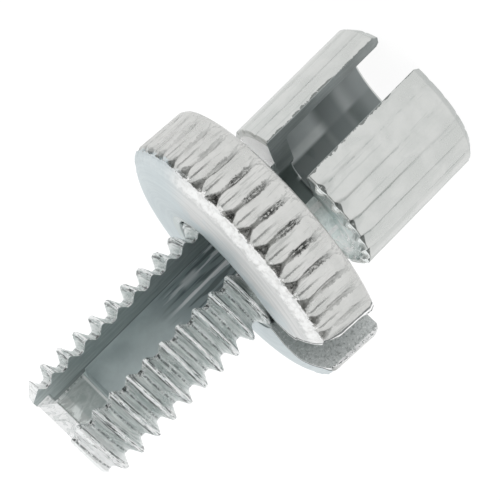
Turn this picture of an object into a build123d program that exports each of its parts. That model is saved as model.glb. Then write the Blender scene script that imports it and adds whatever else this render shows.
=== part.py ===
from build123d import *
import math
import os

# Slotted cable adjuster: a turned screw with a fluted head, and a knurled lock ring on its thread.
# All sizes are in millimetres. +Z runs along the axis towards the threaded tip,
# and the part stands on the open end of its head at z = 0. The cable slot opens towards -Y.

# thread, M6 x 1: a plain shank at the major diameter stands in for its free length,
# and the stretch that the ring is screwed on is at the pitch diameter
thread_diameter = 5.95
thread_pitch = 1.0
pitch_line_depth = 0.325 * thread_pitch
thread_depth = 0.54 * thread_pitch
overall_length = 22.0
tip_chamfer = 0.5

# fluted head
head_diameter = 8.5
head_length = 7.0
head_end_chamfer = 0.3
underside_chamfer = 0.2
flute_count = 24
flute_depth = 0.16
flute_land_share = 0.45
flute_turn = -6

# relieved neck between the head and the thread
neck_length = 0.8

# holes along the axis
socket_diameter = 6.8
socket_depth = 6.0
socket_mouth_chamfer = 0.15
shank_bore_diameter = 3.0
shank_bore_top = 19.5
tip_flare_radius = 1.9
tip_flare_depth = 0.7

# cable slot, the same width in the screw and in the ring
slot_width = 2.5

# lock ring
ring_diameter = 13.4
ring_thickness = 3.6
ring_base_z = 8.4
ring_running_clearance = 0.05
ring_back_chamfer = 0.3
ring_mouth_chamfer = 0.6
dome_height = 0.8
dome_flat_radius = 5.1
knurl_count = 42
knurl_depth = 0.35
knurl_land_share = 0.45
knurl_turn = 6.25
ring_slot_angle = 180
free_thread_gap = 0.1

# worked out from the sizes above
thread_radius = thread_diameter / 2
engaged_radius = thread_radius - pitch_line_depth
neck_radius = thread_radius - thread_depth
head_radius = head_diameter / 2
socket_radius = socket_diameter / 2
shank_bore_radius = shank_bore_diameter / 2
cable_hole_radius = slot_width / 2
ring_radius = ring_diameter / 2
ring_bore_radius = engaged_radius + ring_running_clearance
ring_top_z = ring_base_z + ring_thickness
knurl_top_z = ring_top_z - dome_height
free_thread_z = ring_top_z + free_thread_gap

os.makedirs("parts", exist_ok=True)


def toothed_outline(crest_radius, depth, count, land_share):
    """Corner points of a toothed circle: each tooth is a land, and a V valley parts it from the next."""
    step = 2 * math.pi / count
    half_land = step * land_share / 2
    points = []
    for tooth in range(count):
        middle = tooth * step
        corners = (
            (middle - half_land, crest_radius),
            (middle + half_land, crest_radius),
            (middle + step / 2, crest_radius - depth),
        )
        for angle, radius in corners:
            points.append((radius * math.cos(angle), radius * math.sin(angle)))
    return points


# adjuster screw
with BuildPart() as adjuster_screw:
    # turned outside: head, neck and shank
    with BuildSketch(Plane.XZ):
        with BuildLine():
            Polyline(
                (0, 0),
                (head_radius - head_end_chamfer, 0),
                (head_radius, head_end_chamfer),
                (head_radius, head_length - underside_chamfer),
                (head_radius - underside_chamfer, head_length),
                (neck_radius, head_length),
                (neck_radius, head_length + neck_length),
                (engaged_radius, head_length + neck_length),
                (engaged_radius, free_thread_z),
                (thread_radius, free_thread_z),
                (thread_radius, overall_length - tip_chamfer),
                (thread_radius - tip_chamfer, overall_length),
                (0, overall_length),
                close=True,
            )
        make_face()
    revolve(axis=Axis.Z)

    # flutes: straight V valleys round the head, cut as a toothed collar
    with BuildSketch():
        Circle(head_radius + flute_depth)
        Polygon(
            *toothed_outline(head_radius, flute_depth, flute_count, flute_land_share),
            rotation=flute_turn,
            align=None,
            mode=Mode.SUBTRACT,
        )
    extrude(amount=head_length, mode=Mode.SUBTRACT)

    # housing socket, shank bore, cable hole and flared tip, turned as one hollow
    with BuildSketch(Plane.XZ):
        with BuildLine():
            Polyline(
                (0, 0),
                (socket_radius + socket_mouth_chamfer, 0),
                (socket_radius, socket_mouth_chamfer),
                (socket_radius, socket_depth),
                (shank_bore_radius, socket_depth),
                (shank_bore_radius, shank_bore_top),
                (cable_hole_radius, shank_bore_top),
                (cable_hole_radius, overall_length - tip_flare_depth),
                (tip_flare_radius, overall_length),
                (0, overall_length),
                close=True,
            )
        make_face()
    revolve(axis=Axis.Z, mode=Mode.SUBTRACT)

    # cable slot along the whole length, open on one side as far as the bore
    with Locations((0, -head_diameter / 2, overall_length / 2)):
        Box(slot_width, head_diameter, 2 * overall_length, mode=Mode.SUBTRACT)

# lock ring
with BuildPart() as lock_ring:
    # turned blank: chamfered back, straight rim and domed shoulder towards the tip
    with BuildSketch(Plane.XZ):
        with BuildLine():
            Polyline(
                (dome_flat_radius, ring_top_z),
                (ring_bore_radius + ring_mouth_chamfer, ring_top_z),
                (ring_bore_radius, ring_top_z - ring_mouth_chamfer),
                (ring_bore_radius, ring_base_z + ring_mouth_chamfer),
                (ring_bore_radius + ring_mouth_chamfer, ring_base_z),
                (ring_radius - ring_back_chamfer, ring_base_z),
                (ring_radius, ring_base_z + ring_back_chamfer),
                (ring_radius, knurl_top_z),
            )
            EllipticalCenterArc(
                (dome_flat_radius, knurl_top_z),
                ring_radius - dome_flat_radius,
                dome_height,
                start_angle=0,
                arc_size=90,
            )
        make_face()
    revolve(axis=Axis.Z)

    # straight knurl, cut through the rim as a toothed collar
    with BuildSketch(Plane.XY.offset(ring_base_z)):
        Circle(ring_radius + knurl_depth)
        Polygon(
            *toothed_outline(ring_radius, knurl_depth, knurl_count, knurl_land_share),
            rotation=knurl_turn,
            align=None,
            mode=Mode.SUBTRACT,
        )
    extrude(amount=ring_thickness, mode=Mode.SUBTRACT)

    # radial slot that lets the cable out, turned away from the screw's own slot
    with PolarLocations(ring_radius / 2, 1, start_angle=ring_slot_angle):
        with Locations((0, 0, ring_base_z + ring_thickness / 2)):
            Box(ring_radius, slot_width, 2 * ring_thickness, mode=Mode.SUBTRACT)

adjuster_screw.part.label = "adjuster_screw"
lock_ring.part.label = "lock_ring"

export_step(adjuster_screw.part, "parts/adjuster_screw.step")
export_step(lock_ring.part, "parts/lock_ring.step")
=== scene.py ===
"""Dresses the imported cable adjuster: a slotted, threaded screw with a fluted head, and its lock ring."""
import math
from functools import partialmethod

import bmesh
import bpy
from mathutils import Matrix, Vector


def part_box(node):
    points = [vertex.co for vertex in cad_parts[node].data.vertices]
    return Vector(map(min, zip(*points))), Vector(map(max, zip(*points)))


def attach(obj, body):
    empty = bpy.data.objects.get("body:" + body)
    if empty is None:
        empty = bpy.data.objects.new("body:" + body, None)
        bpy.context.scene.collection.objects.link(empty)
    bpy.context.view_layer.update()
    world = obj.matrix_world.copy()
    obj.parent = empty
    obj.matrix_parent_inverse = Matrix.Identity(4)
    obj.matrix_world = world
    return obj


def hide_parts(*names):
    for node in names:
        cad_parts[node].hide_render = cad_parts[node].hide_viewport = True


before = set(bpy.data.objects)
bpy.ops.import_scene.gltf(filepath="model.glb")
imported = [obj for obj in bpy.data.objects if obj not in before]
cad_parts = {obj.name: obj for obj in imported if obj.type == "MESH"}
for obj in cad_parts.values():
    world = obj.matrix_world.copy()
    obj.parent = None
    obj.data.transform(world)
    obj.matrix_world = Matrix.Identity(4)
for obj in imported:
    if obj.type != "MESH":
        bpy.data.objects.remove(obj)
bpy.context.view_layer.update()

MM = 0.001
FULL_TURN = 2 * math.pi
DEGREE = math.pi / 180
WELD = 0.0005 * MM
WHITE = (1.0, 1.0, 1.0)
smoothing_angle = 35.0 * DEGREE

# The two nodes' boxes give the sizes that the solids and the dressed pieces share.
screw_low, screw_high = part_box("adjuster_screw")
ring_low, ring_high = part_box("lock_ring")
head_end_z = screw_low[2]
tip_z = screw_high[2]
ring_radius = ring_high[0]
ring_back_z = ring_low[2]
ring_face_z = ring_high[2]

# Head
head_radius = 4.25 * MM
head_length = 7.0 * MM
underside_z = head_end_z + head_length
head_chamfer = 0.3 * MM
underside_chamfer = 0.08 * MM
underside_lobe = 0.15 * MM
torn_width = 1.2 * MM
flute_count = 24
flute_turn = -6.0 * DEGREE
flute_depth = 0.2 * MM
flute_columns = 16

# Thread
thread_radius = 2.975 * MM
thread_pitch = 1.0 * MM
thread_depth = 0.54 * thread_pitch
thread_root = thread_radius - thread_depth
thread_start_z = head_end_z + 7.8 * MM
shank_overlap = 0.2 * MM
neck_radius = thread_root - 0.03 * MM
thread_crest_z = 0.678 * MM
thread_columns = 144
tip_chamfer = 0.65 * MM

# Hollow and cable slot
socket_radius = 3.4 * MM
socket_depth = 6.0 * MM
socket_mouth = 0.15 * MM
bore_radius = 1.5 * MM
bore_end_z = head_end_z + 19.5 * MM
drill_point = 0.15 * MM
slot_width = 2.5 * MM
tip_flare_radius = 1.9 * MM
tip_flare_depth = 0.7 * MM

# Lock ring
ring_bore_radius = thread_radius + 0.08 * MM
ring_bore_bevel = 0.2 * MM
ring_mouth_radius = 3.17 * MM
ring_mouth_depth = 0.4 * MM
dome_flat_radius = 4.8 * MM
dish_radius = 4.2 * MM
dish_depth = 0.12 * MM
dome_height = 0.8 * MM
dome_points = 18
ring_back_chamfer = 0.3 * MM
ring_rim_z = ring_face_z - dome_height
ring_middle_z = (ring_back_z + ring_face_z) / 2
near_lip_ease = 0.04
far_lip_ease = 0.012

# Knurl. A tooth ends at the dome in a round finger, whose half width is given as a share of half the spacing.
knurl_count = 42
knurl_turn = 6.25 * DEGREE
knurl_depth = 0.35 * MM
knurl_columns = 18
knurl_pit_length = 0.45 * MM
finger_tip = 0.34
finger_growth = 0.52
finger_power = 0.75
finger_waist = 0.14
waist_start = 1.2 * knurl_pit_length
waist_end = 2.4 * knurl_pit_length

# The ring sits on its thread with play: it leans a little, and has slipped aside and along.
ring_lean = 4.0 * DEGREE
ring_lean_side = -48.0 * DEGREE
ring_slip = 0.06 * MM
ring_slip_side = -24.0 * DEGREE
ring_rise = 0.1 * MM
ring_seat = Vector((ring_slip * math.cos(ring_slip_side), ring_slip * math.sin(ring_slip_side), ring_rise))


# ---- bench tools

def clear_selection():
    """Leaves edit mode and selects nothing, so that the next operator acts only on what it is given."""
    if bpy.context.object and bpy.context.object.mode != "OBJECT":
        bpy.ops.object.mode_set(mode="OBJECT")
    bpy.ops.object.select_all(action="DESELECT")


def take(*pieces):
    """Selects these pieces, and makes the first one active."""
    clear_selection()
    for piece in pieces:
        piece.select_set(True)
    bpy.context.view_layer.objects.active = pieces[0]


def edit(piece, everything=True):
    """Opens one piece for shaping, with all of it or none of it selected."""
    take(piece)
    bpy.ops.object.mode_set(mode="EDIT")
    bpy.ops.mesh.select_mode(type="VERT")
    bpy.ops.mesh.select_all(action="SELECT" if everything else "DESELECT")


def close_edit():
    bpy.ops.object.mode_set(mode="OBJECT")


def turn_selected(angle, axis="Z", centre=(0, 0, 0)):
    """Turns what is selected by this angle. The operator counts its own angle the other way."""
    bpy.ops.transform.rotate(value=-angle, orient_axis=axis, center_override=centre)


def settle(piece):
    """Puts the piece's place into its mesh."""
    take(piece)
    bpy.ops.object.transform_apply(location=True, rotation=True, scale=True)


def reshape(piece, move):
    """Lets move(point) put each of the piece's points in its new place."""
    edit(piece, everything=False)
    shape = bmesh.from_edit_mesh(piece.data)
    for point in shape.verts:
        move(point)
    bmesh.update_edit_mesh(piece.data)
    close_edit()


def weld():
    """Joins the selected points that meet, and turns the faces outwards."""
    bpy.ops.mesh.remove_doubles(threshold=WELD)
    bpy.ops.mesh.normals_make_consistent(inside=False)


def finish_with(piece, kind, **settings):
    """Adds one modifier and applies it."""
    modifier = piece.modifiers.new(kind.lower(), kind)
    for setting, value in settings.items():
        setattr(modifier, setting, value)
    take(piece)
    bpy.ops.object.modifier_apply(modifier=modifier.name)


def cut(piece, tool, operation="DIFFERENCE"):
    """Cuts the piece with a tool solid, or joins or trims it, and puts the tool away."""
    finish_with(piece, "BOOLEAN", object=tool, operation=operation, solver="EXACT")
    bpy.data.objects.remove(tool)


def radius_of(place):
    return math.hypot(place[0], place[1])


def angle_of(place):
    return math.atan2(place[1], place[0])


def smooth_step(value, low, high):
    share = max(0.0, min(1.0, (value - low) / (high - low)))
    return share * share * (3 - 2 * share)


def drawn_chain(name, corners):
    """A chain of edges in the XZ plane. A plane is pinched to its middle, and the point is extruded from
    corner to corner. Each corner is (radius, height, number of equal steps that lead to it)."""
    clear_selection()
    radius, height, _ = corners[0]
    bpy.ops.mesh.primitive_plane_add(size=MM, location=(radius, 0, height))
    piece = bpy.context.object
    piece.name = piece.data.name = name
    settle(piece)
    edit(piece)
    bpy.ops.mesh.merge(type="CENTER")
    for next_radius, next_height, steps in corners[1:]:
        step = ((next_radius - radius) / steps, 0, (next_height - height) / steps)
        for _ in range(steps):
            bpy.ops.mesh.extrude_region_move(TRANSFORM_OT_translate={"value": step})
        radius, height = next_radius, next_height
    close_edit()
    return piece


def spun(piece, angle, columns):
    """Turns the drawn chain about the screw's axis."""
    edit(piece)
    bpy.ops.mesh.spin(steps=columns, angle=angle, center=(0, 0, 0), axis=(0, 0, 1))
    bpy.ops.mesh.select_all(action="SELECT")
    weld()
    close_edit()
    return piece


def turned_solid(name, corners, columns=96):
    return spun(drawn_chain(name, corners), FULL_TURN, columns)


def middle_angle(sector):
    """The angle round the axis at which a spun sector has its middle."""
    across = sum(point.co.x for point in sector.data.vertices)
    along = sum(point.co.y for point in sector.data.vertices)
    return math.atan2(along, across)


def copied_round(piece, count):
    """Copies one sector round the axis, and welds the copies into one skin."""
    sectors = [piece]
    for number in range(1, count):
        take(piece)
        bpy.ops.object.duplicate(linked=False)
        sector = bpy.context.object
        turn_selected(-number * FULL_TURN / count)
        settle(sector)
        sectors.append(sector)
    take(*sectors)
    bpy.ops.object.join()
    edit(piece)
    weld()
    close_edit()
    return piece


def out_from(low, high):
    """A weight that rises with a place's distance from the axis."""
    return lambda place: smooth_step(radius_of(place), low, high)


def roughen(piece, grain, height, weight):
    """Raises and sinks the surface a little where weight(place) says, as burrs and rolled crests do."""
    group = piece.vertex_groups.new(name="roughened")
    for point in piece.data.vertices:
        share = weight(point.co)
        if share > 0:
            group.add([point.index], min(share, 1.0), "REPLACE")
    surface_grain = bpy.data.textures.new("surface grain", "CLOUDS")
    surface_grain.noise_scale = grain
    surface_grain.noise_depth = 2
    finish_with(piece, "DISPLACE", texture=surface_grain, strength=height, mid_level=0.5,
                vertex_group=group.name, texture_coords="LOCAL")
    piece.vertex_groups.clear()


def slot_tool(name, reach, low, high, angle):
    """A block that opens a slot from the axis outwards, towards the angle."""
    clear_selection()
    bpy.ops.mesh.primitive_cube_add(size=1, location=(reach / 2, 0, (low + high) / 2),
                                    scale=(reach, slot_width, high - low))
    block = bpy.context.object
    block.name = block.data.name = name
    settle(block)
    edit(block)
    turn_selected(angle)
    close_edit()
    return block


# ---- the screw

def thread_profile():
    """One pitch of the thread, from the middle of one groove to the middle of the next."""
    crest_half = thread_pitch / 16
    root_half = thread_pitch / 8
    round_off = 0.03 * MM
    crest = thread_crest_z + (math.floor((thread_start_z - thread_crest_z) / thread_pitch) - 3) * thread_pitch
    foot = crest - thread_pitch / 2
    profile = drawn_chain("thread_profile", [
        (thread_root, foot, 1),
        (thread_root, foot + root_half * 0.75, 2),
        (thread_root + round_off, foot + root_half * 1.25, 1),
        (thread_radius - round_off, crest - crest_half * 1.35, 6),
        (thread_radius, crest - crest_half * 0.5, 1),
        (thread_radius, crest + crest_half * 0.5, 1),
        (thread_radius - round_off, crest + crest_half * 1.35, 1),
        (thread_root + round_off, foot + thread_pitch - root_half * 1.25, 6),
        (thread_root, foot + thread_pitch - root_half * 0.75, 1),
        (thread_root, foot + thread_pitch, 2),
    ])
    return profile, foot


def close_ends(shank):
    """Closes the two open ends of the wound thread with faces that meet in a point."""
    middle = (thread_start_z + tip_z) / 2
    edit(shank)
    bpy.ops.mesh.remove_doubles(threshold=WELD)
    for top in (False, True):
        bpy.ops.mesh.select_all(action="DESELECT")
        shape = bmesh.from_edit_mesh(shank.data)
        for edge in shape.edges:
            edge.select_set(edge.is_boundary and (edge.verts[0].co.z > middle) == top)
        bmesh.update_edit_mesh(shank.data)
        bpy.ops.mesh.extrude_region_move()
        bpy.ops.mesh.merge(type="CENTER")
    bpy.ops.mesh.select_all(action="SELECT")
    bpy.ops.mesh.normals_make_consistent(inside=False)
    close_edit()


def threaded_shank():
    """The profile is wound up the shank, roughened on its crests, and trimmed with its lead-in chamfer."""
    shank, foot = thread_profile()
    turns = math.ceil((tip_z - foot) / thread_pitch) + 1
    finish_with(shank, "SCREW", axis="Z", angle=FULL_TURN, screw_offset=thread_pitch, iterations=turns,
                steps=thread_columns, render_steps=thread_columns)
    close_ends(shank)
    roughen(shank, 0.35 * MM, 0.05 * MM, out_from(thread_radius - 0.2 * MM, thread_radius))
    roughen(shank, 0.14 * MM, 0.05 * MM, out_from(thread_radius - 0.1 * MM, thread_radius - 0.02 * MM))
    cut(shank, turned_solid("lead_in_tool", [
        (0, thread_start_z, 1),
        (thread_radius + MM, thread_start_z, 1),
        (thread_radius + MM, tip_z - tip_chamfer - MM, 1),
        (thread_radius - tip_chamfer, tip_z, 1),
        (0, tip_z, 1),
    ]), "INTERSECT")
    return shank


def flute_press(angle, height, torn):
    """How far the head's side is pressed in, for an angle from a land's middle and a height on the head.
    The grooves are narrow, and where the underside is torn they open into a scallop."""
    across = abs(angle) / (math.pi / flute_count)
    to_end = torn * smooth_step(height, underside_z - 0.8 * MM, underside_z)
    land_edge = 0.62 - 0.4 * to_end
    groove = smooth_step(across, land_edge, 1.0)
    along = smooth_step(height, head_end_z + 0.3 * MM, underside_z - 0.6 * MM)
    return flute_depth * groove * (0.3 + 0.3 * along + 0.55 * to_end)


def press_flute(point):
    """Presses one point of the head into its flute. The cutter has torn the underside on the side of the slot
    where X is negative, and left it clean on the other."""
    radius = radius_of(point.co)
    if radius <= socket_radius or point.co.z >= underside_z + WELD:
        return
    spacing = FULL_TURN / flute_count
    from_land = (angle_of(point.co) - flute_turn + spacing / 2) % spacing - spacing / 2
    torn = 1 - smooth_step(point.co.x, 0, torn_width)
    pressed = flute_press(from_land, point.co.z, torn)
    reach = smooth_step(radius, head_radius - head_chamfer * 1.5, head_radius - head_chamfer)
    point.co.xy *= (radius - pressed * reach) / radius
    pushed = smooth_step(point.co.z, underside_z - 0.3 * MM, underside_z - underside_chamfer)
    point.co.z += underside_lobe * torn * reach * pushed * min(1.0, pressed / flute_depth)


def fluted_head():
    """The sector of one land is drawn, spun and copied round the head, and then the flutes are pressed in."""
    sector = drawn_chain("fluted_head", [
        (0, head_end_z, 1),
        (head_radius - head_chamfer, head_end_z, 2),
        (head_radius, head_end_z + head_chamfer, 3),
        (head_radius, underside_z - underside_chamfer, 44),
        (head_radius - underside_chamfer, underside_z, 3),
        (neck_radius, underside_z, 8),
        (neck_radius, thread_start_z + shank_overlap, 3),
        (0, thread_start_z + shank_overlap, 1),
    ])
    spun(sector, FULL_TURN / flute_count, flute_columns)
    to_first_land = flute_turn - middle_angle(sector)
    edit(sector)
    turn_selected(to_first_land)
    close_edit()
    head = copied_round(sector, flute_count)
    reshape(head, press_flute)
    return head


def hollow_tool():
    """The socket, the bore behind it and the flared cable hole at the tip, as one turned solid."""
    flare = (tip_flare_radius - slot_width / 2) / tip_flare_depth
    floor_z = head_end_z + socket_depth
    floor_bevel = 0.15 * MM
    bore_bevel = 0.1 * MM
    return turned_solid("hollow_tool", [
        (0, head_end_z - MM, 1),
        (socket_radius + socket_mouth + MM, head_end_z - MM, 1),
        (socket_radius, head_end_z + socket_mouth, 1),
        (socket_radius, floor_z - floor_bevel, 1),
        (socket_radius - floor_bevel, floor_z, 1),
        (bore_radius + bore_bevel, floor_z, 1),
        (bore_radius, floor_z + bore_bevel, 1),
        (bore_radius, bore_end_z - drill_point, 1),
        (slot_width / 2, bore_end_z, 1),
        (slot_width / 2, tip_z - tip_flare_depth, 1),
        (tip_flare_radius + flare * MM, tip_z + MM, 1),
        (0, tip_z + MM, 1),
    ], columns=128)


def torn_edge(place):
    """The head's edge towards the ring, where the cutter has left its finest burrs."""
    at_side = smooth_step(radius_of(place), head_radius - 0.5 * MM, head_radius - 0.25 * MM)
    return at_side * smooth_step(place.z, underside_z - 0.35 * MM, underside_z - 0.1 * MM)


def adjuster_screw():
    """The head is roughened, joined to the threaded shank, hollowed and sawn open along its whole length."""
    screw = fluted_head()
    roughen(screw, 0.5 * MM, 0.02 * MM, out_from(head_radius - 0.6 * MM, head_radius - 0.3 * MM))
    roughen(screw, 0.16 * MM, 0.035 * MM, torn_edge)
    cut(screw, threaded_shank(), "UNION")
    cut(screw, hollow_tool())
    cut(screw, slot_tool("cable_slot_tool", 2 * head_radius, head_end_z - MM, tip_z + MM, -math.pi / 2))
    screw.name = screw.data.name = "dressed_screw"
    return screw


# ---- the lock ring

def finger_edge(height):
    """Half the width of a tooth, as a share of half the tooth spacing."""
    from_end = ring_rim_z - height
    rise = max(0.0, min(1.0, from_end / knurl_pit_length)) ** finger_power
    return finger_tip + finger_growth * rise - finger_waist * smooth_step(from_end, waist_start, waist_end)


def knurl_press(angle, height):
    """How far the ring's edge is pressed in, for an angle from a tooth's middle and a height on the ring.
    A groove is shallow along the rim and falls into a pit between the finger ends, where the dome begins."""
    across = abs(angle) / (math.pi / knurl_count)
    from_end = max(0.0, ring_rim_z - height)
    edge = finger_edge(height)
    groove = smooth_step(across, edge - 0.06, min(1.0, edge + 0.22))
    fade_in = smooth_step(height, ring_back_z + 0.35 * MM, ring_back_z + 1.2 * MM)
    pit = 1 - smooth_step(from_end, 0.1 * MM, knurl_pit_length * 1.3)
    stop = 1 - smooth_step(height, ring_rim_z + 0.01 * MM, ring_rim_z + 0.07 * MM)
    crease = (1 - smooth_step(across, 0.02, 0.24)) * (1 - smooth_step(from_end, 0.7 * MM, 1.8 * MM))
    round_over = smooth_step(across, 0.1, 0.8) * fade_in
    finger_end = smooth_step(height, ring_rim_z - 0.22 * MM, ring_rim_z)
    pressed = (knurl_depth * groove * (0.38 * fade_in + 0.62 * pit) + 0.055 * MM * crease
               + 0.045 * MM * round_over + 0.08 * MM * finger_end)
    return pressed * stop


def dome_corners():
    """The dome's arc, from its flat middle out to the rim."""
    dome_width = ring_radius - dome_flat_radius
    arc_radius = (dome_width * dome_width + dome_height * dome_height) / (2 * dome_height)
    corners = []
    for number in range(1, dome_points + 1):
        out = dome_width * math.sin(number / dome_points * math.pi / 2)
        fall = arc_radius - math.sqrt(arc_radius * arc_radius - out * out)
        corners.append((dome_flat_radius + out, ring_face_z - fall, 1))
    return corners


def ring_tooth():
    """The sector of one tooth: drawn, spun, pressed and turned to its place."""
    tooth = drawn_chain("lock_ring_tooth", [
        (ring_bore_radius, ring_back_z + ring_bore_bevel, 1),
        (ring_bore_radius, ring_face_z - ring_mouth_depth, 4),
        (ring_mouth_radius - 0.04 * MM, ring_face_z - dish_depth - 0.05 * MM, 4),
        (ring_mouth_radius + 0.04 * MM, ring_face_z - dish_depth, 1),
        (dish_radius, ring_face_z - 0.01 * MM, 8),
        (dish_radius + 0.2 * MM, ring_face_z, 2),
        (dome_flat_radius, ring_face_z, 4),
        *dome_corners(),
        (ring_radius, ring_rim_z - 0.9 * MM, 22),
        (ring_radius, ring_back_z + ring_back_chamfer, 15),
        (ring_radius - 0.1 * MM, ring_back_z + 0.1 * MM, 2),
        (ring_radius - ring_back_chamfer, ring_back_z, 2),
        (ring_bore_radius + ring_bore_bevel, ring_back_z, 6),
        (ring_bore_radius, ring_back_z + ring_bore_bevel, 2),
    ])
    spun(tooth, FULL_TURN / knurl_count, knurl_columns)
    middle = middle_angle(tooth)

    def press(point):
        radius = radius_of(point.co)
        if radius > dome_flat_radius:
            pressed = knurl_press(angle_of(point.co) - middle, point.co.z)
            reach = smooth_step(radius, ring_radius - 0.5 * MM, ring_radius - 0.25 * MM)
            point.co.xy *= (radius - pressed * reach) / radius

    reshape(tooth, press)
    edit(tooth)
    turn_selected(knurl_turn - middle)
    close_edit()
    return tooth


def ease_lip(point):
    """Draws the rim's corner in a little where the slot will cut it, as a file does."""
    if point.co.x < 0 and radius_of(point.co) > ring_radius - 1.2 * MM:
        beside = 1 - smooth_step(abs(point.co.y), slot_width / 2, slot_width / 2 + 0.7 * MM)
        ease = near_lip_ease if point.co.y < 0 else far_lip_ease
        point.co.xy *= 1 - ease * beside * smooth_step(point.co.z, ring_rim_z - 0.9 * MM, ring_rim_z)


def true_bore(point):
    """Brings a point of the bore or its mouth in line with the thread, although the ring will lean on it."""
    radius = radius_of(point.co)
    if radius < ring_bore_radius + ring_bore_bevel + 0.02 * MM:
        middle = Vector((0, 0, ring_middle_z))
        seated = ring_leaning() @ (point.co - middle) + middle + ring_seat
        seated.xy *= radius / radius_of(seated)
        point.co = ring_leaning().transposed() @ (seated - ring_seat - middle) + middle


def ring_leaning():
    """The small turn by which the ring leans on its thread."""
    side = Matrix.Rotation(ring_lean_side, 3, "Z")
    return side @ Matrix.Rotation(ring_lean, 3, "Y") @ side.transposed()


def lean(ring):
    """Leans the finished ring to one side, and moves it to its seat."""
    edit(ring)
    for angle, axis in ((-ring_lean_side, "Z"), (ring_lean, "Y"), (ring_lean_side, "Z")):
        turn_selected(angle, axis, (0, 0, ring_middle_z))
    bpy.ops.transform.translate(value=ring_seat)
    close_edit()


def burr_height(place):
    """Where the knurling tool has raised a burr: along the rim of the dome, and less beside the slot."""
    rise = smooth_step(place.z, ring_rim_z - 0.06 * MM, ring_rim_z + 0.05 * MM)
    fall = 1 - smooth_step(place.z, ring_rim_z + 0.25 * MM, ring_rim_z + 0.5 * MM)
    from_slot = max(smooth_step(place.x, -ring_radius / 2, 0),
                    smooth_step(abs(place.y), slot_width / 2, slot_width))
    return rise * fall * from_slot


def knurled_ring():
    """One tooth is copied round. The ring is then roughened, eased, bored, slotted and put on the thread."""
    ring = copied_round(ring_tooth(), knurl_count)
    roughen(ring, 0.22 * MM, 0.022 * MM, out_from(ring_radius - 0.9 * MM, ring_radius - 0.5 * MM))
    roughen(ring, 0.3 * MM, 0.2 * MM, burr_height)
    reshape(ring, ease_lip)
    reshape(ring, true_bore)
    cut(ring, slot_tool("ring_slot_tool", 2 * ring_radius, ring_back_z - MM, ring_face_z + MM, math.pi))
    lean(ring)
    ring.name = ring.data.name = "dressed_lock_ring"
    return ring


# ---- finishes

# Tones of the zinc on the screw, and of the shade and highlights painted on it. A pair goes from the first to
# the second as its grain rises.
land_tones = (0.57, 0.585, 0.57), (0.635, 0.645, 0.63)
flute_shade_and_scratch_tone = (0.33, 0.36, 0.35)
notch_shade_tone = (0.09, 0.1, 0.095)
head_edge_highlight_tone = (0.8, 0.83, 0.82)
underside_tones = (0.7, 0.77, 0.76), (0.9, 0.96, 0.95)
underside_shade_tone = (0.3, 0.33, 0.315)
flank_tones = (0.51, 0.565, 0.555), (0.8, 0.83, 0.82)
lead_in_highlight_tones = (0.5, 0.52, 0.515), (0.97, 0.98, 0.975)
crevice_shade_tone = (0.07, 0.08, 0.08)
scratch_tone = (0.14, 0.16, 0.16)
crest_shadow_tone = (0.09, 0.1, 0.1)
root_shade_tone = (0.1, 0.115, 0.115)
saw_edge_tone = (0.1, 0.115, 0.11)
slot_valley_shadow_tone = (0.04, 0.045, 0.045)
bright_burr_tone = (0.97, 0.975, 0.97)
dark_burr_tone = (0.05, 0.055, 0.055)
wall_tones = (0.43, 0.48, 0.48), (0.52, 0.57, 0.565)
wall_inner_tone = (0.12, 0.14, 0.14)
wall_mouth_tone = (0.16, 0.175, 0.17)
hollow_tones = (0.6, 0.65, 0.655), (0.72, 0.77, 0.77)
deep_bore_shade_tone = (0.22, 0.29, 0.31)
bore_mouth_tone = (0.25, 0.29, 0.28)
socket_shadow_band_tone = (0.17, 0.2, 0.2)
socket_mouth_tone = (0.18, 0.205, 0.205)
socket_shade_tone = (0.1, 0.125, 0.12)
socket_highlight_tone = (0.95, 0.97, 0.96)
bore_line_tone = (0.1, 0.12, 0.12)
tip_hole_tones = (0.5, 0.54, 0.53), (0.66, 0.69, 0.68)
tip_band_tones = (0.6, 0.62, 0.61), (0.92, 0.94, 0.93)
tip_face_highlight_tones = (0.86, 0.875, 0.87), (1.0, 1.0, 1.0)
smear_tone = (0.45, 0.47, 0.465)

# Tones of the zinc on the lock ring, and of the shade and highlights painted on it.
tooth_tones = (0.57, 0.575, 0.56), (0.66, 0.66, 0.645)
tooth_scratch_tone = (0.33, 0.34, 0.33)
crease_shade_tone = (0.17, 0.175, 0.17)
groove_outline_shade_tone = (0.24, 0.245, 0.24)
groove_shade_tone = (0.36, 0.365, 0.355)
burnt_tone = (0.06, 0.063, 0.06)
pit_shade_tones = (0.07, 0.07, 0.065), (0.5, 0.5, 0.49)
dome_tones = (0.67, 0.725, 0.745), (0.71, 0.765, 0.78)
rubbed_tones = (0.74, 0.745, 0.74), (0.82, 0.82, 0.815)
ring_burr_highlight_tones = (0.86, 0.855, 0.845), (1.0, 1.0, 0.995)
mouth_tone = (0.55, 0.61, 0.61)
cheek_shade_tones = (0.48, 0.515, 0.51), (0.67, 0.69, 0.685)
cheek_patch_tone = (0.36, 0.38, 0.375)
sawn_tone = (0.2, 0.21, 0.21)
lip_shade_and_dash_tone = (0.12, 0.13, 0.13)

# Sides of the axis on which the plating is marked, or on which painted shade and highlights lie, as angles
# from X.
underside_shade_side = (-156.0 * DEGREE, -130.0 * DEGREE)
socket_shade_side = (38.5 * DEGREE, 43.0 * DEGREE)
socket_highlight_side, socket_highlight_reach = 36.0 * DEGREE, 6.5 * DEGREE
bore_highlight_side, bore_highlight_reach = 50.0 * DEGREE, 4.0 * DEGREE
glint_side, glint_reach = 21.0 * DEGREE, 14.0 * DEGREE
burnt_middle_side = -113.0 * DEGREE
burr_middle_side = -128.0 * DEGREE

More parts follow.
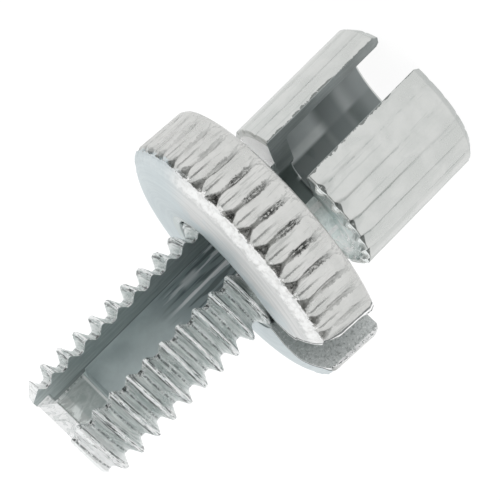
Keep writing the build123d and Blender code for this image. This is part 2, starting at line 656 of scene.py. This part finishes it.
# The finishes measure in millimetres.
half_slot_mm = slot_width / 2 / MM
underside_mm = underside_z / MM
head_edge_mm = head_radius / MM - 0.4
neck_end_mm = thread_start_z / MM + 0.2
bore_end_mm = bore_end_z / MM
tip_mm = tip_z / MM
flare_start_mm = (tip_z - tip_flare_depth) / MM
rim_mm = ring_rim_z / MM
pit_mm = knurl_pit_length / MM
wall_tolerance_mm = 0.012
scratch_height = 0.11 * MM


class Value:
    """A number, place or colour that changes over the surface: what a node gives, and how it is worked on."""

    def __init__(self, tree, socket):
        self.tree = tree
        self.socket = socket

    def worked(self, operation, *others):
        return math_node(self.tree, operation, self, *others)

    def __rsub__(self, other):
        return math_node(self.tree, "SUBTRACT", other, self)

    __add__ = partialmethod(worked, "ADD")
    __sub__ = partialmethod(worked, "SUBTRACT")
    __mul__ = partialmethod(worked, "MULTIPLY")
    __truediv__ = partialmethod(worked, "DIVIDE")
    __abs__ = partialmethod(worked, "ABSOLUTE")
    __lt__ = partialmethod(worked, "LESS_THAN")
    __gt__ = partialmethod(worked, "GREATER_THAN")

    def between(self, low, high, to_low=0.0, to_high=1.0):
        """A soft step: to_low where the value is at low, to_high where it is at high."""
        return node(self.tree, "ShaderNodeMapRange", "Result", {
            "Value": self, "From Min": low, "From Max": high, "To Min": to_low, "To Max": to_high},
            interpolation_type="SMOOTHSTEP")

    def near(self, target, reach):
        """1 where the value is at the target, falling to 0 at the reach on both sides of it."""
        return abs(self - target).between(reach, reach * 0.35)

    def blend(self, first, second):
        """The first colour where this share is 0, and the second where it is 1."""
        return node(self.tree, "ShaderNodeMix", "Result", {"Factor": self, "A": first, "B": second},
                    data_type="RGBA")


def wire(tree, socket, value):
    """Links a value to the socket, or sets the socket's own number, vector or colour."""
    if isinstance(value, Value):
        tree.links.new(value.socket, socket)
    elif socket.type == "RGBA":
        socket.default_value = (*value, 1)
    else:
        socket.default_value = value


def node(tree, kind, output, inputs=None, **settings):
    """Adds a node, and gives back what comes out of it."""
    made = tree.nodes.new(kind)
    for setting, value in settings.items():
        setattr(made, setting, value)
    for socket, value in (inputs or {}).items():
        wire(tree, made.inputs[socket], value)
    return Value(tree, made.outputs[output])


def math_node(tree, operation, *values, clamp=False):
    return node(tree, "ShaderNodeMath", 0, dict(enumerate(values)), operation=operation, use_clamp=clamp)


def largest(first, *others):
    for other in others:
        first = first.worked("MAXIMUM", other)
    return first


def joined(x, y, z):
    return node(x.tree, "ShaderNodeCombineXYZ", "Vector", {"X": x, "Y": y, "Z": z})


def noise(place, scale, detail=3.0, roughness=0.55, distortion=0.0):
    return node(place.tree, "ShaderNodeTexNoise", "Fac", {
        "Vector": place, "Scale": scale, "Detail": detail, "Roughness": roughness, "Distortion": distortion})


def layered(colour, *layers):
    """Lays tones over a colour, in this order. Each layer is (share, tone)."""
    for share, tone in layers:
        colour = share.blend(colour, tone)
    return colour


def new_plating(name):
    finish = bpy.data.materials.new(name)
    finish.use_nodes = True
    tree = finish.node_tree
    tree.nodes["Principled BSDF"].inputs["Metallic"].default_value = 1.0
    return finish, tree


def wire_plating(tree, colour, roughness, height):
    sockets = tree.nodes["Principled BSDF"].inputs
    wire(tree, sockets["Base Color"], colour)
    wire(tree, sockets["Roughness"], roughness)
    wire(tree, sockets["Normal"], node(tree, "ShaderNodeBump", "Normal", {
        "Height": height, "Strength": 1.0, "Distance": scratch_height}))


class Places:
    """Where a point of the surface is, in millimetres, for the patterns that follow the turned shape. A piece
    that leans gives the turn, centre and seat that bring its points back in line with the axis."""

    def __init__(self, tree, turn=Matrix.Identity(3), centre=(0, 0, 0), seat=(0, 0, 0)):
        self.tree = tree
        offset = Vector(centre) - turn @ (Vector(centre) + Vector(seat))
        self.mm = node(tree, "ShaderNodeMapping", "Vector", {
            "Vector": node(tree, "ShaderNodeTexCoord", "Object"), "Scale": (1 / MM, 1 / MM, 1 / MM),
            "Rotation": tuple(turn.to_euler("XYZ")), "Location": tuple(offset)})
        self.x, self.y, self.z = (
            node(tree, "ShaderNodeSeparateXYZ", axis, {"Vector": self.mm}) for axis in "XYZ")
        self.radius = (self.x * self.x + self.y * self.y).worked("SQRT")
        self.angle = self.y.worked("ARCTAN2", self.x)
        self.cos = self.angle.worked("COSINE")
        self.sin = self.angle.worked("SINE")
        self.clouds = noise(self.mm, 0.9, 4.0, 0.55, 0.3)

    def across(self, count, turn):
        """0 in the middle of a tooth and 1 in the middle of a groove, for this many teeth round the axis."""
        return ((self.angle - turn) * count).worked("COSINE").worked("ARCCOSINE") / math.pi

    def towards(self, side):
        """1 on this side of the axis, falling to -1 on the opposite side."""
        return (self.angle - side).worked("COSINE")

    def axial_streaks(self, fine, slow):
        """Places for scratches that run along the axis: fine round the part, slow along it."""
        return joined(self.x * fine, self.y * fine, self.z * slow)

    def turning_lines(self, fine, slow):
        """Places for scratches that run round the axis, as a lathe leaves them on a face."""
        return joined(self.radius * fine, self.cos * slow, self.sin * slow)


# ---- the screw's plating

class ScrewPlaces(Places):
    """The regions of the screw, each as a share from 0 to 1, and the grain that several finishes have."""

    def __init__(self, tree):
        super().__init__(tree)
        self.grain = noise(self.mm, 9.0, 3.0, 0.7)
        self.specks = noise(self.mm, 5.5, 4.0, 0.75)
        self.wheel_lines = noise(self.axial_streaks(5.0, 0.3), 1.0, 3.0, 0.6, 0.15)
        self.dashes = noise(self.axial_streaks(3.0, 1.3), 1.0, 4.0, 0.7, 0.4)
        self.find_outside()
        self.find_hollow()
        self.find_thread()

    def find_outside(self):
        self.head_side = (self.z.between(underside_mm + 0.02, underside_mm - 0.02)
                          * self.radius.between(head_edge_mm, head_edge_mm + 0.05))
        self.underside = (self.z.between(underside_mm - 0.04, underside_mm - 0.02)
                          * self.radius.between(head_edge_mm + 0.1, head_edge_mm)
                          * self.z.between(neck_end_mm, neck_end_mm - 0.05))
        self.off_wall = abs(self.x) - half_slot_mm
        self.wall = (abs(self.off_wall) < wall_tolerance_mm) * (self.y < -0.6)
        self.slot_side = self.y < -1.0
        self.tip_face = self.z > tip_mm - 0.015

    def find_hollow(self):
        socket_mm = socket_radius / MM
        floor_mm = socket_depth / MM
        bore_mm = bore_radius / MM
        self.in_socket = (self.radius.between(socket_mm + 0.1, socket_mm + 0.02)
                          * self.z.between(floor_mm + 0.3, floor_mm))
        self.in_bore = (self.radius.between(bore_mm + 0.12, bore_mm)
                        * self.z.between(bore_end_mm + 0.12, bore_end_mm + 0.05))
        self.in_tip = (self.z.between(bore_end_mm + 0.05, bore_end_mm + 0.12)
                       * self.z.between(flare_start_mm + 0.1, flare_start_mm - 0.1)
                       * (self.radius < half_slot_mm + 0.05))
        self.flare = (self.z.between(flare_start_mm - 0.1, flare_start_mm + 0.05)
                      * (self.radius < tip_flare_radius / MM + 0.1))

    def find_thread(self):
        """The thread's regions, how far a point is from the crest, and three widths of streak along it."""
        plain = 1.0 - largest(self.wall, self.tip_face, self.in_bore, self.in_tip, self.flare)
        on_thread = plain * self.z.between(neck_end_mm - 0.05, neck_end_mm + 0.05)
        cone_mm = (thread_radius + tip_z - tip_chamfer) / MM
        self.lead_in = on_thread * (self.z + self.radius).between(cone_mm - 0.035, cone_mm - 0.01)
        self.cut_thread = on_thread - self.lead_in * 0.8
        self.turn = (self.z - thread_crest_z / MM) * (FULL_TURN / (thread_pitch / MM)) - self.angle
        self.from_crest = self.turn.worked("COSINE").worked("ARCCOSINE") / math.pi
        self.crest = self.from_crest.between(0.62, 0.1)
        self.coarse_lines = self.helical_streaks(1.2, 2.0)
        self.fine_lines = self.helical_streaks(2.2, 2.8)
        self.scratch_lines = self.helical_streaks(3.4, 3.2, 0.1)
        # Dark streaks, strongest on the crests, painted as shade in the crevices between the rolled burrs.
        self.crevice_shade_streaks = (self.cut_thread * self.fine_lines.between(0.45, 0.42)
                             * self.crest.between(0.1, 1.0, 0.1, 0.95))

    def helical_streaks(self, fine, slow, distortion=0.3):
        """Scratches that run along the thread: fine across it and slow along it. Both places are taken as
        points on a circle, so that nothing jumps at a seam. The height keeps one turn unlike the next."""
        place = joined(self.turn.worked("COSINE") * fine, self.turn.worked("SINE") * fine, self.cos * slow)
        return node(self.tree, "ShaderNodeTexNoise", "Fac", {
            "Vector": place, "W": self.sin * slow + self.z * 1.3, "Scale": 1.0, "Detail": 4.0,
            "Roughness": 0.72, "Distortion": distortion}, noise_dimensions="4D")


def head_colour(at):
    """Broad pale lands between thin, broken grey lines of painted shade in the flutes, with painted shade on
    the end chamfer. The edge towards the ring is torn on one side, with painted shade in its notches and a
    painted highlight along it.
    """
    across = at.across(flute_count, flute_turn)
    # The lines in the flutes and the grey beside them are painted shade; the faint lines are scratches, and
    # the end chamfer gets painted shade.
    in_line = (across + at.dashes.between(0.44, 0.64, 0.0, 0.11)).between(1.0, 1.05)
    beside_line = across.between(0.75, 1.0, 0.0, 0.14)
    towards_ring = at.z.between(1.5, 6.5, 0.45, 1.0)
    flute_shade = at.head_side * largest(in_line * 0.6, beside_line) * towards_ring
    faint_lines = at.head_side * at.wheel_lines.between(0.4, 0.34, 0.0, 0.22)
    end_chamfer_shade = at.head_side * at.z.between(0.36, 0.28) * 0.4

    torn_side = at.x.between(1.4, 0.2)
    past_land = at.z - across.between(0.3, 1.0, underside_mm - 0.12, underside_mm - 0.31)
    # Painted shade in the notch beyond each land's scallop, on the torn side.
    notch_shade = at.head_side * past_land.between(0.0, 0.05) * at.specks.between(0.36, 0.46, 0.3, 1.0)
    # A painted highlight along the burred edge under the lands, on the torn side.
    burr = (at.z.between(underside_mm - 0.08, underside_mm - 0.05)
            * at.radius.between(head_edge_mm, head_edge_mm + 0.1)
            * at.z.between(underside_mm + 0.6, underside_mm + 0.5))
    return layered(
        at.clouds.between(0.35, 0.65).blend(*land_tones),
        (largest(flute_shade, faint_lines, end_chamfer_shade), flute_shade_and_scratch_tone),
        (notch_shade * torn_side * 0.9, notch_shade_tone),
        (burr * torn_side * at.specks.between(0.34, 0.42), head_edge_highlight_tone))


def underside_colour(at):
    """Greenish, with painted highlight lines round the axis, painted shade on one side of the slot, and white
    painted light on the other.
    """
    # Lines round the axis that are painted as highlights.
    lathe_highlight_lines = noise(at.turning_lines(4.0, 1.6), 1.0, 3.0, 0.6, 1.0)
    shade = (at.angle.between(*underside_shade_side, 0.0, 0.6)
             * at.y.between(-0.4, -1.0) * at.radius.between(3.1, 2.6))
    return layered(
        at.clouds.between(0.4, 0.6).blend(*underside_tones),
        (lathe_highlight_lines.between(0.53, 0.58), WHITE),
        (shade, underside_shade_tone),
        # Painted light: the side where X is positive is whitened.
        (at.x.between(0.2, 1.4), WHITE))


def with_thread(at, outer):
    """Lays the thread over the outside: streaks along the helix, strongest on the crests. Painted highlights
    lie on the crests, a painted shadow beside them and painted shade in the roots, and painted light
    brightens the lead-in and the last turns before the tip.
    """
    flank_colour = at.coarse_lines.between(0.38, 0.6).blend(*flank_tones)
    # Speckled grain on the lead-in chamfer, painted up to near white as a highlight.
    lead_in_colour = at.specks.between(0.36, 0.44).blend(*lead_in_highlight_tones)
    # Painted light on the last turns before the tip.
    tip_light = at.z.between(20.6, flare_start_mm) * at.specks.between(0.35, 0.5, 0.45, 0.85)
    # A painted shadow beside each crest.
    crest_shadow = at.from_crest.near(0.26, 0.1) * at.coarse_lines.between(0.47, 0.53)
    # Painted highlights: glints along the scratches, and a bright line on the crests.
    scratch_glints = at.scratch_lines.between(0.55, 0.58) * at.crest.between(0.0, 1.0, 0.3, 1.0)
    crest_highlight = (at.from_crest.between(0.17, 0.1) * at.fine_lines.between(0.44, 0.5)
                * at.coarse_lines.between(0.42, 0.52, 0.15, 1.0))
    # Painted shade in the thread's roots.
    root_shade = at.from_crest.between(0.86, 0.97) * at.specks.between(0.42, 0.55)
    return layered(
        outer,
        (at.cut_thread, flank_colour),
        (at.cut_thread * tip_light, WHITE),
        (at.lead_in, lead_in_colour),
        (at.crevice_shade_streaks, crevice_shade_tone),
        (at.cut_thread * at.scratch_lines.between(0.4, 0.37) * 0.6, scratch_tone),
        (at.cut_thread * crest_shadow * 0.85, crest_shadow_tone),
        (at.cut_thread * largest(scratch_glints, crest_highlight), WHITE),
        (at.cut_thread * root_shade * 0.8, root_shade_tone))


def with_sawn_edges(at, outer):
    """The saw leaves a torn dark line along both edges of the slot, and burrs where it crosses the thread. A
    painted shadow lies in the thread's valleys beside the slot.
    """
    torn = noise(at.axial_streaks(2.5, 2.2), 1.0, 4.0, 0.75)
    reach = torn.between(0.36, 0.66, 0.015, 0.13) * at.z.between(0.8, 4.0, 0.45, 1.0)
    edge = (at.off_wall < reach) * (at.off_wall > 0.004) * at.slot_side * at.head_side
    # Painted shadow in the thread's valleys where the slot cuts them.
    valley_shadow = at.cut_thread * at.off_wall.between(0.22, 0.1) * at.from_crest.between(0.7, 0.85) * at.slot_side
    burr = at.cut_thread * at.off_wall.between(0.3, 0.12) * at.slot_side
    return layered(
        outer,
        (edge * 0.78, saw_edge_tone),
        (valley_shadow * 0.85, slot_valley_shadow_tone),
        (burr * at.grain.between(0.5, 0.56, 0.0, 0.8), bright_burr_tone),
        (burr * at.grain.between(0.42, 0.38, 0.0, 0.9), dark_burr_tone))


def wall_colour(at):
    """The slot's walls: sawn along the screw, and darker at the bore and in the socket's mouth."""
    saw_lines = noise(joined(at.y * 6.0, at.z * 0.7, at.x), 1.0, 3.0, 0.6, 0.4)
    return layered(
        saw_lines.between(0.4, 0.62).blend(*wall_tones),
        (at.z.between(9.0, 7.0, 0.0, 0.2), WHITE),
        (at.radius.between(1.6, 1.55, 0.0, 0.4), wall_inner_tone),
        (at.z.between(3.0, 1.6, 0.0, 0.55), wall_mouth_tone))


def socket_layers(at):
    """Dark towards the mouth and in a band of painted shadow behind it, with one side in painted shade beside
    a painted highlight streak.
    """
    # A band of painted shadow round the socket.
    band = at.z.near(2.5, 1.1)
    shade = (at.angle.between(*socket_shade_side, 0.0, 0.85) * at.clouds.between(0.35, 0.6, 1.0, 0.85)
             * at.z.between(0.5, 1.6, 0.2, 1.0) * band.between(0.0, 1.0, 1.0, 0.35))
    # A painted highlight streak along the socket's wall.
    highlight_streak = (at.angle.near(socket_highlight_side, socket_highlight_reach) * at.z.between(2.8, 3.6)
             * at.clouds.between(0.3, 0.5, 0.7, 1.0))
    return ((at.in_socket * band * 0.75, socket_shadow_band_tone),
            (at.in_socket * at.z.between(2.4, 0.9) * 0.78, socket_mouth_tone),
            (at.in_socket * shade, socket_shade_tone),
            (at.in_socket * highlight_streak * 0.7, socket_highlight_tone))


def bore_layers(at):
    """Lines along the bore where it lies under the ring: dark ones first, and painted highlight streaks and a
    painted glint over them.
    """
    lines = noise(at.axial_streaks(4.0, 0.3), 1.0, 2.0, 0.5, 0.1)
    near_ring = at.z.between(15.6, 13.5) * at.z.between(10.0, 11.0)
    # Painted highlight streaks and a painted glint on the bore's wall.
    drawn = at.angle.near(bore_highlight_side, bore_highlight_reach) * near_ring * lines.between(0.36, 0.44)
    glint = at.angle.near(glint_side, glint_reach) * at.z.near(13.1, 0.7) * 0.7
    bore_highlight_lines = near_ring * lines.between(0.6, 0.64) * 0.8
    return ((at.in_bore * lines.between(0.46, 0.4, 0.0, 0.5) * near_ring, bore_line_tone),
            (at.in_bore * largest(drawn, glint, bore_highlight_lines), WHITE))


def hollow_colour(at):
    """The socket and the bore: thin, dull plating that little light reaches, with painted shade and
    highlights laid over it.
    """
    return layered(
        at.clouds.between(0.3, 0.7).blend(*hollow_tones),
        (at.in_socket * 0.35, WHITE),
        # Painted shade in the bore, from under the ring back towards the head.
        (at.in_bore * at.z.between(16.0, 13.5) * 0.45, deep_bore_shade_tone),
        (at.in_bore * at.z.between(9.5, 9.0), bore_mouth_tone),
        *socket_layers(at),
        *bore_layers(at))


def tip_hole_colour(at):
    """The hole behind the tip: grey, with a painted highlight line on its step and a pale band towards the
    flare.
    """
    marks = noise(at.axial_streaks(2.2, 1.1), 1.0, 4.0, 0.7, 0.8)
    pale_band = marks.between(0.4, 0.6).blend(*tip_band_tones)
    # A painted highlight along the bore's step.
    step_highlight = at.z.near(bore_end_mm + 0.12, 0.12) * (at.radius < half_slot_mm + 0.1) * 0.7
    return layered(
        marks.between(0.35, 0.65).blend(*tip_hole_tones),
        (at.z.between(20.7, 20.85), pale_band),
        (step_highlight, WHITE))


def tip_face_colour(at):
    """The tip's face and flare: painted near white as a highlight, with thin grey edges round the smears."""
    smears = noise(at.mm, 1.7, 4.0, 0.6, 1.2)
    return layered(
        # Painted highlight: the face and flare are near white.
        smears.between(0.4, 0.5).blend(*tip_face_highlight_tones),
        (smears.near(0.43, 0.015) * 0.6, smear_tone))


def screw_height(at):
    """The height of the scratches, for the bump."""
    return (at.cut_thread * (at.fine_lines + at.scratch_lines * 0.6)
            + at.head_side * (at.wheel_lines * 0.2 + at.dashes * 0.1)
            + largest(at.flare, at.tip_face, at.underside) * at.specks)


def screw_plating():
    """Bright zinc over turned steel: pale on the head, torn and bright along the thread, dull inside, with
    painted shade and highlights laid over it in many places.
    """
    finish, tree = new_plating("bright zinc on the screw")
    at = ScrewPlaces(tree)
    outer = layered(head_colour(at), (at.underside, underside_colour(at)))
    outer = with_sawn_edges(at, with_thread(at, outer))
    colour = layered(
        outer,
        (largest(at.in_socket, at.in_bore), hollow_colour(at)),
        (at.in_tip, tip_hole_colour(at)),
        (at.wall, wall_colour(at)),
        (largest(at.flare, at.tip_face), tip_face_colour(at)))
    roughness = (at.clouds.between(0.3, 0.7, 0.26, 0.36)
                 + largest(at.crevice_shade_streaks, at.in_socket, at.wall) * 0.25
                 + largest(at.in_bore, at.in_tip) * 0.45)
    wire_plating(tree, colour, roughness, screw_height(at))
    return finish


# ---- the lock ring's plating

class RingPlaces(Places):
    """The regions of the lock ring, each as a share from 0 to 1, and the grain that several finishes have."""

    def __init__(self, tree):
        super().__init__(tree, ring_leaning().transposed(), (0, 0, ring_middle_z / MM), ring_seat / MM)
        self.grain = noise(self.mm, 8.0, 3.0, 0.7)
        self.lumps = noise(self.mm, 4.0, 3.0, 0.65)
        self.scratches = noise(self.axial_streaks(7.0, 0.6), 1.0, 4.0, 0.65, 0.4)
        self.flakes = noise(self.axial_streaks(12.0, 7.0), 1.0, 3.0, 0.75, 0.6)
        self.turning = noise(self.turning_lines(8.0, 1.2), 1.0, 3.0, 0.6)

        self.off_slot = abs(self.y) - half_slot_mm
        self.slot_side = self.x < -2.5
        self.cheek = (abs(self.off_slot) < wall_tolerance_mm) * self.slot_side
        self.bare = 1.0 - self.cheek
        self.below_dome = rim_mm - self.z
        self.on_rim = self.radius.between(6.1, 6.2) * self.z.between(rim_mm + 0.16, rim_mm + 0.12) * self.bare
        past_rim = self.z - self.lumps.between(0.35, 0.65, rim_mm - 0.16, rim_mm + 0.12)
        self.on_dome = self.bare * past_rim.between(0.0, 0.03) * self.radius.between(3.28, 3.36)
        self.find_teeth()
        self.find_marks()

    def find_teeth(self):
        """How far a point is across its tooth, and how far past the edge of its finger."""
        self.across_tooth = self.across(knurl_count, knurl_turn)
        rise = math_node(self.tree, "DIVIDE", self.below_dome, pit_mm, clamp=True)
        finger = rise.worked("POWER", finger_power) * finger_growth + self.below_dome.between(
            waist_start / MM, waist_end / MM, finger_tip, finger_tip - finger_waist)
        self.past_finger = self.across_tooth + self.lumps.between(0.3, 0.7, -0.13, 0.13) - finger
        self.groove = self.on_rim * self.past_finger.between(0.0, 0.06)

    def find_marks(self):
        """The plating is burnt and rubbed most on one side, where the painted shade in the grooves is
        strongest too, and the pit at each groove's end is painted shade. The burrs' painted highlight reaches
        a little further round.
        """
        off_middle = self.towards(burnt_middle_side)
        self.groove_shade_side = off_middle.between(0.5, 0.92, 0.45, 1.0)
        burnt_side = off_middle.between(0.82, 0.96, 0.06, 1.0)
        uneven = self.clouds.between(0.4, 0.6, 0.55, 1.0)
        self.burnt = (self.groove * self.below_dome.between(0.75, 1.15) * self.below_dome.between(2.35, 1.9)
                      * burnt_side * uneven * self.flakes.between(0.54, 0.48, 0.0, 0.95))
        # Painted shade in the pit at each groove's end, between the fingers.
        self.pit_shade = (self.groove * self.below_dome.between(pit_mm + 0.1, pit_mm - 0.1)
                     * burnt_side.between(0.06, 1.0, 0.2, 0.97) * uneven.between(0.55, 1.0, 0.75, 1.0))
        burr_side = self.towards(burr_middle_side)
        self.burr_side = burr_side.between(0.4, 0.75, 0.08, 1.0)
        burr_end = self.lumps * 0.34 + (rim_mm + 0.22)
        self.burr = self.on_dome * (burr_end - self.z).between(-0.1, 0.04) * self.radius.between(5.8, 6.0)


def rim_colour(at):
    """Pale fingers, each with a thin crease of painted shade, between grooves that are burnt in patches.
    Painted shade also lies in the grooves and along the outlines of the fingers and of the grooves' rear
    ends.
    """
    past_crease = at.across_tooth - at.flakes.between(0.35, 0.65, 0.03, 0.1)
    # Painted shade in the crease, along the fingers' outlines, round the grooves' rear ends and in the
    # grooves, strongest on one side.
    crease = (at.on_rim * past_crease.between(0.03, 0.0)
              * at.below_dome.between(0.02, 0.12) * at.below_dome.between(1.5, 0.6))
    groove_outline_shade = (at.on_rim * at.past_finger.near(0.06, 0.1) * at.scratches.between(0.4, 0.55, 0.15, 0.8)
                   * at.below_dome.between(0.45, 0.7, 1.0, 0.5))
    round_end = at.below_dome + at.across_tooth * at.across_tooth * 0.45
    rear_outline_shade = (at.on_rim * round_end.near(2.68, 0.1) * at.flakes.between(0.44, 0.52)
            * at.clouds.between(0.48, 0.58))
    groove = at.groove * at.below_dome.between(2.5, 2.0) * at.scratches.between(0.35, 0.6, 0.25, 0.55)
    return layered(
        at.clouds.between(0.35, 0.65).blend(*tooth_tones),
        (at.on_rim * at.scratches.between(0.46, 0.36, 0.0, 0.4), tooth_scratch_tone),
        (crease * at.groove_shade_side * 0.7, crease_shade_tone),
        (groove_outline_shade * at.groove_shade_side * 0.8, groove_outline_shade_tone),
        (rear_outline_shade * at.groove_shade_side * 0.4, groove_outline_shade_tone),
        (groove * at.groove_shade_side, groove_shade_tone),
        (at.burnt, burnt_tone),
        (at.pit_shade, at.grain.between(0.42, 0.58).blend(*pit_shade_tones)))


def dome_colour(at):
    """Smooth and bluish, and rubbed grey towards the rim on the side of the burrs."""
    rubbed = (at.radius + at.clouds.between(0.3, 0.7, -0.5, 0.5)).between(4.5, 5.7) * at.burr_side
    return layered(
        at.turning.between(0.35, 0.65).blend(*dome_tones),
        (rubbed, at.turning.between(0.42, 0.58).blend(*rubbed_tones)))


def with_dome(at, outer):
    """Lays the dome over the rim, with the burr that the knurling tool raised, painted near white as a
    highlight, and the bore's mouth.
    """
    mouth = at.bare * at.radius.between(3.36, 3.26) * at.z.between(rim_mm - 1, rim_mm - 0.5)
    return layered(
        outer,
        (at.on_dome, dome_colour(at)),
        # The burr is painted near white as a highlight.
        (at.burr * at.burr_side, at.lumps.between(0.3, 0.6).blend(*ring_burr_highlight_tones)),
        (mouth * 0.85, mouth_tone))


def with_lips(at, outer):
    """Both edges of the slot carry a painted highlight line, with a broken line of painted shade beside them
    and dark dashes on the rim.
    """
    lip = at.bare * at.slot_side
    past_lip = at.off_slot - at.radius.between(6.2, 6.5, 0.08, 0.26)
    line = past_lip.near(0.06, 0.1) * at.grain.between(0.36, 0.46, 0.35, 0.95)
    dashes = at.on_rim * at.off_slot.between(0.12, 0.08) * at.grain.between(0.46, 0.52)
    return layered(
        outer,
        # A painted highlight on each edge of the slot, and a broken line of painted shade beside it.
        (lip * past_lip.between(0.02, -0.02) * 0.9, WHITE),
        (lip * largest(line, dashes), lip_shade_and_dash_tone))


def cheek_colour(at):
    """The slot's sides are sawn: grey and grained, in painted shade towards the bore, with painted highlights
    on their edges at the rim.
    """
    sawn = noise(at.mm, 8.0, 4.0, 0.8)
    return layered(
        # Painted shade: darker towards the bore, lighter out at the rim.
        at.radius.between(4.4, 6.4).blend(*cheek_shade_tones),
        (at.lumps.between(0.5, 0.36, 0.0, 0.5), cheek_patch_tone),
        (sawn.between(0.54, 0.66, 0.0, 0.75), WHITE),
        (sawn.between(0.46, 0.36, 0.0, 0.6), sawn_tone),
        # Painted highlights along the outer edge.
        (at.radius.between(6.5, 6.56) * at.grain.between(0.42, 0.5), WHITE))


def ring_height(at):
    """The height of the scratches and burrs, for the bump."""
    return (at.on_rim * (at.scratches * 0.3 + at.flakes * 0.15) + at.turning * 0.02
            + at.burr * at.burr_side * at.lumps * 0.5)


def ring_plating():
    """Bright zinc over a rolled knurl: fine lines along the teeth, painted shade in the grooves and in the
    pit at each groove's end, smooth on the dome.
    """
    finish, tree = new_plating("bright zinc on the lock ring")
    at = RingPlaces(tree)
    outer = with_lips(at, with_dome(at, rim_colour(at)))
    roughness = (at.clouds.between(0.3, 0.7, 0.24, 0.36)
                 + largest(at.on_dome, at.cheek) * 0.3 + largest(at.burnt, at.pit_shade) * 0.3)
    wire_plating(tree, layered(outer, (at.cheek, cheek_colour(at))), roughness, ring_height(at))
    return finish


# ---- studio

def studio_floor():
    """A round sheet of white paper that gives its own even light."""
    clear_selection()
    bpy.ops.mesh.primitive_circle_add(vertices=64, radius=0.6, fill_type="NGON",
                                      location=(0, 0, head_end_z - 0.01 * MM))
    floor = bpy.context.object
    floor.name = "studio_floor"
    paper = bpy.data.materials.new("white studio paper")
    paper.use_nodes = True
    shader = paper.node_tree.nodes["Principled BSDF"]
    for socket, value in (("Base Color", (0.08, 0.08, 0.08)), ("Roughness", 0.9),
                          ("Emission Color", WHITE), ("Emission Strength", 0.94)):
        wire(paper.node_tree, shader.inputs[socket], value)
    floor.data.materials.append(paper)


def studio_light():
    """A white tent lights the part from all round, before a white paper wall."""
    world = bpy.data.worlds.new("studio light")
    bpy.context.scene.world = world
    world.use_nodes = True
    tree = world.node_tree
    tent = tree.nodes["Background"]
    wire(tree, tent.inputs["Color"], (0.99, 1.0, 1.0))
    wire(tree, tent.inputs["Strength"], 0.95)
    paper_wall = node(tree, "ShaderNodeBackground", 0, {"Color": WHITE, "Strength": 1.2})
    seen = node(tree, "ShaderNodeLightPath", "Is Camera Ray")
    mixed = node(tree, "ShaderNodeMixShader", 0, {0: seen, 1: Value(tree, tent.outputs[0]), 2: paper_wall})
    wire(tree, tree.nodes["World Output"].inputs["Surface"], mixed)
    bpy.context.scene.view_settings.view_transform = "Standard"


def camera():
    """The view of the part lying across the picture: a long lens, turned about its own axis."""
    azimuth = -23.886 * DEGREE
    elevation = 8.509 * DEGREE
    roll = 135.1 * DEGREE
    distance = 64.97 * MM
    aim = Vector((-0.035, -0.088, 10.368)) * MM
    turn = (Matrix.Rotation(azimuth, 4, "Z") @ Matrix.Rotation(math.pi / 2 - elevation, 4, "X")
            @ Matrix.Rotation(-roll, 4, "Z"))
    lens = bpy.data.cameras.new("long lens")
    lens.sensor_width = 36
    lens.lens = 103.32
    lens.clip_start = MM
    lens.clip_end = 10
    eye = bpy.data.objects.new("camera", lens)
    eye.matrix_world = Matrix.Translation(aim) @ turn @ Matrix.Translation((0, 0, distance))
    bpy.context.scene.collection.objects.link(eye)
    bpy.context.scene.camera = eye


camera()
studio_floor()
studio_light()
clear_selection()
screw = adjuster_screw()
ring = knurled_ring()
for piece, finish, body, cad_node, slot in (
        (screw, screw_plating(), "screw", "adjuster_screw", "screw_plating"),
        (ring, ring_plating(), "ring", "lock_ring", "ring_plating")):
    piece.data.materials.clear()
    piece.data.materials.append(finish)
    take(piece)
    bpy.ops.object.shade_smooth_by_angle(angle=smoothing_angle)
    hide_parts(cad_node)
    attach(piece, body)
clear_selection()
